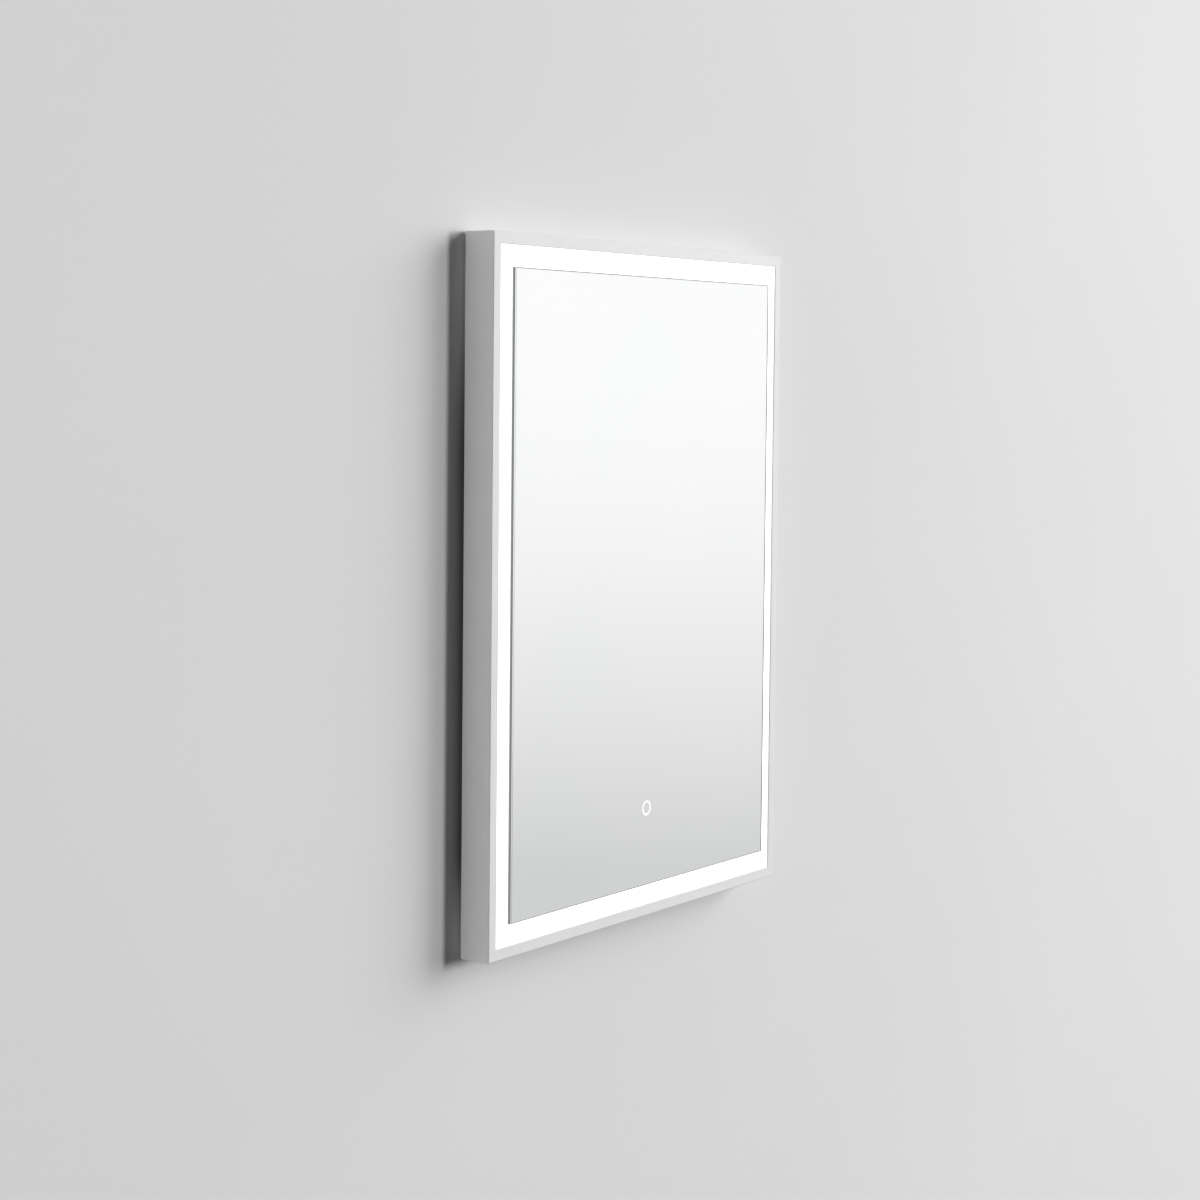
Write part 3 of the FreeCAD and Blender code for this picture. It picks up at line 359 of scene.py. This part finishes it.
def pick_faces(piece, test):
    """Select in edit mode the faces whose middle and normal pass the test."""
    bpy.ops.object.mode_set(mode="OBJECT")
    for face in piece.data.polygons:
        face.select = bool(test(face.center, face.normal))
    for edge in piece.data.edges:
        edge.select = False
    for vertex in piece.data.vertices:
        vertex.select = False
    bpy.ops.object.mode_set(mode="EDIT")
    bpy.ops.mesh.select_mode(type="FACE")


def pick_open_edges(loose=False):
    """Select in edit mode the edges at which the mesh is open, with the loose ones if asked."""
    bpy.ops.mesh.select_all(action="DESELECT")
    bpy.ops.mesh.select_mode(type="EDGE")
    bpy.ops.mesh.select_non_manifold(extend=False, use_wire=loose, use_multi_face=False,
                                     use_non_contiguous=False, use_verts=False)


def face_outwards():
    """Turn all faces of the mesh in edit mode outwards."""
    bpy.ops.mesh.select_all(action="SELECT")
    bpy.ops.mesh.normals_make_consistent(inside=False)


def paint_faces(piece, index, test):
    """Give the faces whose middle and normal pass the test another of the piece's materials."""
    for face in piece.data.polygons:
        if test(face.center, face.normal):
            face.material_index = index


def softened(node, name, body, slot, material, round_mm, steps=2):
    """Copy a CAD node, weld its triangles, and round its sharp edges as tumbling or coating leaves them."""
    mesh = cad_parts[node].data.copy()
    piece = bpy.data.objects.new(name, mesh)
    bpy.context.scene.collection.objects.link(piece)
    mesh.name = name
    only(piece)
    bpy.ops.mesh.customdata_custom_splitnormals_clear()
    bpy.ops.object.mode_set(mode="EDIT")
    bpy.ops.mesh.select_all(action="SELECT")
    bpy.ops.mesh.remove_doubles(threshold=0.002 * MM)
    bpy.ops.mesh.dissolve_limited(angle_limit=math.radians(0.5))
    bpy.ops.object.mode_set(mode="OBJECT")
    ease_edges(piece, round_mm * MM, steps, use_clamp_overlap=True)
    smooth(piece)
    finish_piece(piece, body, slot, material, stands_for=(node,))
    return piece


# ---------------------------------------------------------------- frame


def frame_member(side):
    """A coated member. The face of its lip that looks at the band, down to the opal sheet, gets a painted
    highlight: a whiter coat for the band's light on it.
    """
    member = softened(f"frame_{side}", f"frame_member_{side}", "mirror", "frame_coat", coat, 0.25)
    member.data.materials.append(painted_band_light)
    lip_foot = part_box("light_sheet")[0].y + 1 * MM
    # Painted highlight: the band's light on the lip's inner face, drawn as a whiter coat.
    paint_faces(member, 1, lambda c, n: abs(n.y) < 0.3 and c.y < lip_foot and n.dot(MIDDLE - c) > 0)


for side in SIDES:
    frame_member(side)


# ---------------------------------------------------------------- glass

ARRIS = 0.8 * MM
# The silver is drawn short of the arris. The dark line there stands for the ground edge as it shows through
# the thickness of the glass, which isn't modelled. It is set for a view from the left: widest at the right.
MARGIN_LEFT = 0.6 * MM
MARGIN_RIGHT = 2.6 * MM
MARGIN_ENDS = 0.8 * MM
# The lit line of the touch ring: its radius, to the line's middle, and its width.
RING_RADIUS = 7.8 * MM
RING_LINE = 2.4 * MM


def mirror_with_ring():
    """The silvered glass: the ring bridged to the silver's rectangle, then margin, arris, edge and back."""
    low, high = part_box("mirror_glass")
    middle = (low + high) / 2
    guide_low, guide_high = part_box("touch_light_ring")
    ring = (guide_low + guide_high) / 2
    ring_outer = RING_RADIUS + RING_LINE / 2
    ring_inner = RING_RADIUS - RING_LINE / 2
    margin = (MARGIN_LEFT + MARGIN_RIGHT) / 2
    shift = (MARGIN_RIGHT - MARGIN_LEFT) / 2
    half_x = (high.x - low.x) / 2 - ARRIS - margin
    half_z = (high.z - low.z) / 2 - ARRIS - MARGIN_ENDS
    silver_right = half_x - shift
    silver_top = half_z

    bpy.ops.object.select_all(action="DESELECT")
    bpy.ops.mesh.primitive_circle_add(vertices=72, radius=ring_outer, fill_type="NGON",
                                      location=(ring.x, low.y, ring.z), rotation=TO_FRONT)
    glass = start("silvered_mirror_glass")
    bpy.ops.object.mode_set(mode="EDIT")
    bpy.ops.mesh.select_all(action="SELECT")
    bpy.ops.mesh.inset(thickness=RING_LINE)
    bpy.ops.mesh.select_all(action="DESELECT")
    silver_middle = (middle.x - shift, low.y, middle.z)
    bpy.ops.mesh.primitive_plane_add(size=2, location=silver_middle, rotation=TO_FRONT)
    bpy.ops.transform.resize(value=(half_x, 1, half_z), center_override=silver_middle)
    bpy.ops.mesh.delete(type="ONLY_FACE")
    pick_open_edges(loose=True)
    bpy.ops.mesh.bridge_edge_loops()
    face_outwards()
    # The rims, each drawn out of the last one's open edge: how far outwards, to the right and backwards.
    rims = ((margin, MARGIN_ENDS, shift, 0.0), (ARRIS, ARRIS, 0.0, ARRIS),
            (0.0, 0.0, 0.0, high.y - low.y - ARRIS))
    for out_x, out_z, right, back in rims:
        pick_open_edges()
        bpy.ops.mesh.extrude_edges_move(TRANSFORM_OT_translate={"value": (right, back, 0)})
        grow = ((half_x + out_x) / half_x, 1, (half_z + out_z) / half_z)
        bpy.ops.transform.resize(value=grow, center_override=tuple(middle))
        half_x += out_x
        half_z += out_z
    bpy.ops.mesh.edge_face_add()
    face_outwards()
    bpy.ops.object.mode_set(mode="OBJECT")

    finish_piece(glass, "mirror", "mirror_front", silver, edge_glass, ring_light,
                 stands_for=("mirror_glass",))
    paint_faces(glass, 1, lambda c, n: n.y > -0.5)
    paint_faces(glass, 1, lambda c, n: n.y < -0.99 and (
        abs(c.x - middle.x) > silver_right or abs(c.z - middle.z) > silver_top))
    paint_faces(glass, 2, lambda c, n: n.y < -0.99 and (
        ring_inner < math.hypot(c.x - ring.x, c.z - ring.z) < ring_outer))


mirror_with_ring()


# ---------------------------------------------------------------- back: panel, hanger, rail, covers

softened("back_panel", "galvanised_back_panel", "mirror", "zinc_steel", zinc, 0.15)
softened("hanger", "folded_hanger", "mirror", "zinc_steel", hanger_zinc, 0.5, 3)
softened("wall_rail", "folded_wall_rail", "wall", "zinc_steel", zinc, 0.5, 3)
softened("connection_cover", "connection_cover_plate", "mirror", "zinc_steel", zinc, 0.2)
softened("cable_grommet", "rubber_cable_grommet", "mirror", "black_rubber", rubber, 0.5, 3)

HEAD_RADIUS = 2.9 * MM
HEAD_HEIGHT = 1.8 * MM
RECESS_LENGTH = 3.0 * MM
RECESS_WIDTH = 0.55 * MM
RECESS_DEPTH = 0.9 * MM
SHANK_RADIUS = 1.45 * MM
SHANK_LENGTH = 7.0 * MM
SHANK_IN_HEAD = 0.2 * MM
HEAD_ROUNDING = 0.8 * MM
# How much further each screw is turned than the one before it.
NEXT_TURN = 0.6


def head_places(node):
    """The middle of each screw's rear face: the rearmost corners of the node, in groups under 8 mm across."""
    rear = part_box(node)[1].y
    groups = []
    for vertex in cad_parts[node].data.vertices:
        if rear - vertex.co.y < 0.01 * MM:
            near = [group for group in groups if (group[0] - vertex.co).length < 8 * MM]
            if near:
                near[0].append(vertex.co.copy())
            else:
                groups.append([vertex.co.copy()])
    middles = []
    for group in groups:
        low = Vector([min(corner[i] for corner in group) for i in range(3)])
        high = Vector([max(corner[i] for corner in group) for i in range(3)])
        middles.append((low + high) / 2)
    return middles


def pan_head_screw(name):
    """One screw that points forward, with the middle of its head's rear face at the origin."""
    bpy.ops.object.select_all(action="DESELECT")
    bpy.ops.mesh.primitive_cylinder_add(vertices=32, radius=HEAD_RADIUS, depth=HEAD_HEIGHT,
                                        location=(0, -HEAD_HEIGHT / 2, 0), rotation=TO_FRONT)
    screw = start(name)
    pick_faces(screw, lambda c, n: n.y > 0.9)
    bpy.ops.mesh.bevel(offset=HEAD_ROUNDING, segments=4, affect="EDGES")
    bpy.ops.object.mode_set(mode="OBJECT")
    for turn in (0.0, math.pi / 2):
        bpy.ops.object.select_all(action="DESELECT")
        bpy.ops.mesh.primitive_cube_add(size=1, location=(0, 0, 0), rotation=(0, turn, 0),
                                        scale=(RECESS_LENGTH, 2 * RECESS_DEPTH, RECESS_WIDTH))
        boolean(screw, "DIFFERENCE", start("recess_blade"))
    bpy.ops.object.select_all(action="DESELECT")
    shank_middle = SHANK_IN_HEAD - HEAD_HEIGHT - SHANK_LENGTH / 2
    bpy.ops.mesh.primitive_cylinder_add(vertices=20, radius=SHANK_RADIUS, depth=SHANK_LENGTH,
                                        location=(0, shank_middle, 0), rotation=TO_FRONT)
    boolean(screw, "UNION", start("screw_shank"))
    return screw


def screws(node, name):
    """The node's screws, modelled once and copied, each stopped at another angle."""
    master = pan_head_screw(name)
    copies = []
    for middle in head_places(node):
        copy = bpy.data.objects.new(name, master.data.copy())
        bpy.context.scene.collection.objects.link(copy)
        copy.location = middle
        copy.rotation_euler = (0, NEXT_TURN * len(copies), 0)
        copies.append(copy)
    bpy.data.objects.remove(master)
    joined = join(copies, name)
    smooth(joined)
    finish_piece(joined, "mirror", "bright_screw", screw_zinc, stands_for=(node,))


screws("back_panel_screws", "pan_head_panel_screws")
screws("cover_screws", "pan_head_cover_screws")

BUMPER_LENGTH = 13.0 * MM
BUMPER_FOOT_RADIUS = 9.0 * MM
BUMPER_TIP_RADIUS = 7.0 * MM
DISH_RIM = 3.5 * MM
DISH_DEPTH = 0.8 * MM
RIM_ROUNDING = 0.7 * MM


def rubber_bumpers():
    """Two tapered bumpers with a rounded rim and a shallow dished tip that rests on the wall."""
    low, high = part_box("wall_bumpers")
    bumpers = []
    for x in (low.x + BUMPER_FOOT_RADIUS, high.x - BUMPER_FOOT_RADIUS):
        bpy.ops.object.select_all(action="DESELECT")
        bpy.ops.mesh.primitive_cone_add(vertices=48, radius1=BUMPER_FOOT_RADIUS, radius2=BUMPER_TIP_RADIUS,
                                        depth=BUMPER_LENGTH, rotation=(-math.pi / 2, 0, 0),
                                        location=(x, high.y - BUMPER_LENGTH / 2, (low.z + high.z) / 2))
        bumper = start("rubber_wall_bumpers")
        pick_faces(bumper, lambda c, n: n.y > 0.9)
        bpy.ops.mesh.inset(thickness=DISH_RIM)
        bpy.ops.mesh.extrude_region_move(TRANSFORM_OT_translate={"value": (0, -DISH_DEPTH, 0)})
        bpy.ops.object.mode_set(mode="OBJECT")
        ease_edges(bumper, RIM_ROUNDING, 3)
        bumpers.append(bumper)
    joined = join(bumpers, "rubber_wall_bumpers")
    smooth(joined)
    finish_piece(joined, "mirror", "black_rubber", rubber, stands_for=("wall_bumpers",))


rubber_bumpers()


# ---------------------------------------------------------------- finishes of the CAD pieces that stay

KEPT = {
    "corner_keys": cast_key, "corner_plates": cast_key, "light_sheet": opal, "mounting_board": foam_board,
    "bonding_strips": foam_tape, "mirror_silvering": backing_paint, "touch_case": white_shell,
    "touch_board": green_board, "touch_light_ring": opal_guide, "strip_links": solder,
    "connection_box": white_shell, "terminal_block": white_shell, "driver_tape": foam_tape,
    "driver_base": driver_shell, "driver_cover": driver_shell, "driver_board": green_board,
    "driver_standoffs": driver_shell, "driver_components": dark_shell, "mains_lead": sheath,
    "strip_lead": sheath, "touch_lead": sheath, "lead_clips": white_shell,
}
for side in SIDES:
    KEPT[f"strip_{side}"] = white_board
    KEPT[f"chips_{side}"] = chip
    KEPT[f"reflector_{side}"] = enamel
for node, material in KEPT.items():
    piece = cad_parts[node]
    piece.data.materials.clear()
    piece.data.materials.append(material)


# ---------------------------------------------------------------- wall


def wall_shade(tree, place):
    """A painted shade that deepens the lamps' shadow: 30 mm wide, left of the frame, faint at its ends."""
    low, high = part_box("frame_left")
    parts = add(tree, "ShaderNodeSeparateXYZ", Vector=place)
    across, up = parts.outputs[0], parts.outputs[2]
    beside = add(tree, "ShaderNodeMapRange", Value=across, From_Min=low.x - 30 * MM, From_Max=low.x - 2 * MM)
    left = add(tree, "ShaderNodeMath", {"operation": "LESS_THAN"}, i0=across, i1=low.x + 50 * MM)
    upper = add(tree, "ShaderNodeMapRange", EASED, Value=up, From_Min=high.z - 5 * MM,
                From_Max=high.z - 255 * MM)
    lower = add(tree, "ShaderNodeMapRange", EASED, Value=up, From_Min=low.z + 5 * MM,
                From_Max=low.z + 125 * MM)
    shade = beside
    for part in (left, upper, lower):
        shade = add(tree, "ShaderNodeMath", {"operation": "MULTIPLY"}, i0=shade, i1=part)
    return shade


def painted_wall():
    """The wall behind: matt emulsion, rolled on. It is one-sided, so that the mirror's back can be seen."""
    bpy.ops.object.select_all(action="DESELECT")
    bpy.ops.mesh.primitive_plane_add(size=14, location=(0, 0.5 * MM, 0), rotation=TO_FRONT)
    wall = start("painted_wall")
    material, tree, shader, place = new_finish("matt_wall_emulsion", Roughness=0.85)
    stipple = grain(tree, place, 3.0, 3.0)
    cloud = grain(tree, place, 700.0, 2.0)
    paint = two_tone(tree, cloud, "CECECF", "D0D0D1")
    wire(tree, shader, Base_Color=blend(tree, wall_shade(tree, place), paint, tone("5C5C5C")))
    relief(tree, shader, stipple, 0.05, 0.4)
    # The wall is open behind the mirror, where it never shows, so that light reaches the mirror's back.
    half_opening = Vector((285, 0, 375)) * MM
    past = past_edges(tree, place, MIDDLE, half_opening)
    opening = add(tree, "ShaderNodeMath", {"operation": "LESS_THAN"}, i0=past, i1=0.0)
    behind = add(tree, "ShaderNodeNewGeometry").outputs["Backfacing"]
    shadow = add(tree, "ShaderNodeLightPath").outputs["Is Shadow Ray"]
    unseen = opening
    for part in (behind, shadow):
        unseen = add(tree, "ShaderNodeMath", {"operation": "MAXIMUM"}, i0=unseen, i1=part)
    clear = add(tree, "ShaderNodeBsdfTransparent")
    surface = add(tree, "ShaderNodeMixShader", i0=unseen, i1=shader, i2=clear)
    output = next(node for node in tree.nodes if node.type == "OUTPUT_MATERIAL")
    wire(tree, output, Surface=surface)
    wall.data.materials.append(material)


# ---------------------------------------------------------------- light and camera

# The soft light comes from a broad patch of the room at the right. It stands this many degrees right of
# straight ahead and up, and grows from its edge to its core, which are cosines of the angle from its middle.
PATCH_RIGHT = 64
PATCH_UP = 15
PATCH_EDGE = 0.90
PATCH_CORE = 0.985
PATCH_STRENGTH = 11.2
REST_STRENGTH = 0.03
# Behind the wall the room glows evenly, a little more from above.
GLOW_LEVEL = 0.55
GLOW_RISE = 0.3
# The greys that the room shows, from just below the horizon to just above it.
ROOM_FOOT = -0.21
ROOM_TOP = 0.06
ROOM_GREYS = ((0.04, "D3D3D4"), (0.20, "E2E2E2"), (0.345, "ECECEC"), (0.49, "F5F5F5"), (0.635, "FBFBFB"),
              (0.80, "FFFFFF"))


def at(degrees_right, degrees_up, distance):
    """A place that far from the mirror's middle, by its angles from straight ahead."""
    a = math.radians(degrees_right)
    e = math.radians(degrees_up)
    way = Vector((math.sin(a) * math.cos(e), -math.cos(a) * math.cos(e), math.sin(e)))
    return MIDDLE + way * distance


def seen_room(tree, height):
    """The room as the camera and the mirror see it: bright above the horizon and greyer below."""
    level = add(tree, "ShaderNodeMapRange", Value=height, From_Min=ROOM_FOOT, From_Max=ROOM_TOP)
    ramp = add(tree, "ShaderNodeValToRGB", i0=level)
    while len(ramp.color_ramp.elements) < len(ROOM_GREYS):
        ramp.color_ramp.elements.new(0.5)
    for element, (position, code) in zip(ramp.color_ramp.elements, ROOM_GREYS):
        element.position = position
        element.color = tone(code)
    return add(tree, "ShaderNodeBackground", Color=ramp, Strength=1.0)


def soft_light(tree, way, depth, height):
    """The room as it lights the pieces: the patch in front, and an even glow behind the wall."""
    toward = at(PATCH_RIGHT, PATCH_UP, 1.0) - MIDDLE
    facing = add(tree, "ShaderNodeVectorMath", {"operation": "DOT_PRODUCT"}, i0=way, i1=toward)
    patch = add(tree, "ShaderNodeMapRange", EASED, Value=facing.outputs["Value"], From_Min=PATCH_EDGE,
                From_Max=PATCH_CORE, To_Min=REST_STRENGTH, To_Max=PATCH_STRENGTH)
    front = add(tree, "ShaderNodeMath", {"operation": "LESS_THAN"}, i0=depth, i1=0.02)
    behind = add(tree, "ShaderNodeMath", {"operation": "SUBTRACT"}, i0=1.0, i1=front)
    glow = add(tree, "ShaderNodeMath", {"operation": "MULTIPLY_ADD"}, i0=height, i1=GLOW_RISE, i2=GLOW_LEVEL)
    rear = add(tree, "ShaderNodeMath", {"operation": "MULTIPLY"}, i0=behind, i1=glow)
    strength = add(tree, "ShaderNodeMath", {"operation": "MULTIPLY_ADD"}, i0=patch, i1=front, i2=rear)
    return add(tree, "ShaderNodeBackground", Color=tone("FFFFFF"), Strength=strength)


def room_light():
    """A pale room round the mirror, which is seen in one way and lights the pieces in another."""
    world = bpy.data.worlds.new("pale_room")
    bpy.context.scene.world = world
    world.use_nodes = True
    tree = world.node_tree
    tree.nodes.clear()
    way = add(tree, "ShaderNodeTexCoord").outputs["Generated"]
    parts = add(tree, "ShaderNodeSeparateXYZ", Vector=way)
    depth, height = parts.outputs[1], parts.outputs[2]
    path = add(tree, "ShaderNodeLightPath")
    shown = path.outputs["Is Camera Ray"]
    for ray in ("Is Glossy Ray", "Is Transmission Ray"):
        shown = add(tree, "ShaderNodeMath", {"operation": "MAXIMUM"}, i0=shown, i1=path.outputs[ray])
    room = add(tree, "ShaderNodeMixShader", i0=shown, i1=soft_light(tree, way, depth, height),
               i2=seen_room(tree, height))
    add(tree, "ShaderNodeOutputWorld", Surface=room)


def softbox(name, place, wide, tall, watts):
    """A flat lamp that faces the mirror's middle."""
    data = bpy.data.lights.new(name, "AREA")
    data.shape = "RECTANGLE"
    data.size = wide
    data.size_y = tall
    data.energy = watts
    lamp = bpy.data.objects.new(name, data)
    bpy.context.scene.collection.objects.link(lamp)
    lamp.location = place
    lamp.rotation_euler = (MIDDLE - place).to_track_quat("-Z", "Y").to_euler()


def photo_camera():
    """Eye level, from the front left, with the lens's small downward shift."""
    data = bpy.data.cameras.new("photo_camera")
    data.sensor_width = 36.0
    data.lens = 72.47
    data.shift_y = -0.0833
    data.clip_start = 0.05
    data.clip_end = 100
    yaw, pitch, roll = (math.radians(v) for v in (54.823, -2.798, 0.557))
    forward = Vector((math.sin(yaw) * math.cos(pitch), math.cos(yaw) * math.cos(pitch), math.sin(pitch)))
    level = Vector((math.cos(yaw), -math.sin(yaw), 0.0))
    up = level.cross(forward)
    right = level * math.cos(roll) + up * math.sin(roll)
    top = up * math.cos(roll) - level * math.sin(roll)
    camera = bpy.data.objects.new("photo_camera", data)
    bpy.context.scene.collection.objects.link(camera)
    camera.matrix_world = Matrix((right, top, -forward)).transposed().to_4x4()
    camera.location = (-2.3709, -1.6436, -0.0675)
    bpy.context.scene.camera = camera


painted_wall()
room_light()
# The main light, which casts the narrow shadow left of the mirror, a fill for the frame's left side, and a
# lamp behind the wall for the mirror's back.
softbox("key_softbox", at(32.5, 5, 9.0), 1.3, 2.2, 415)
softbox("left_fill", at(-86, 3, 4.0), 0.5, 1.6, 41)
softbox("back_light", MIDDLE + Vector((2.0, 2.4, 1.8)), 1.4, 1.4, 20)
photo_camera()
bpy.context.scene.view_settings.view_transform = "Standard"
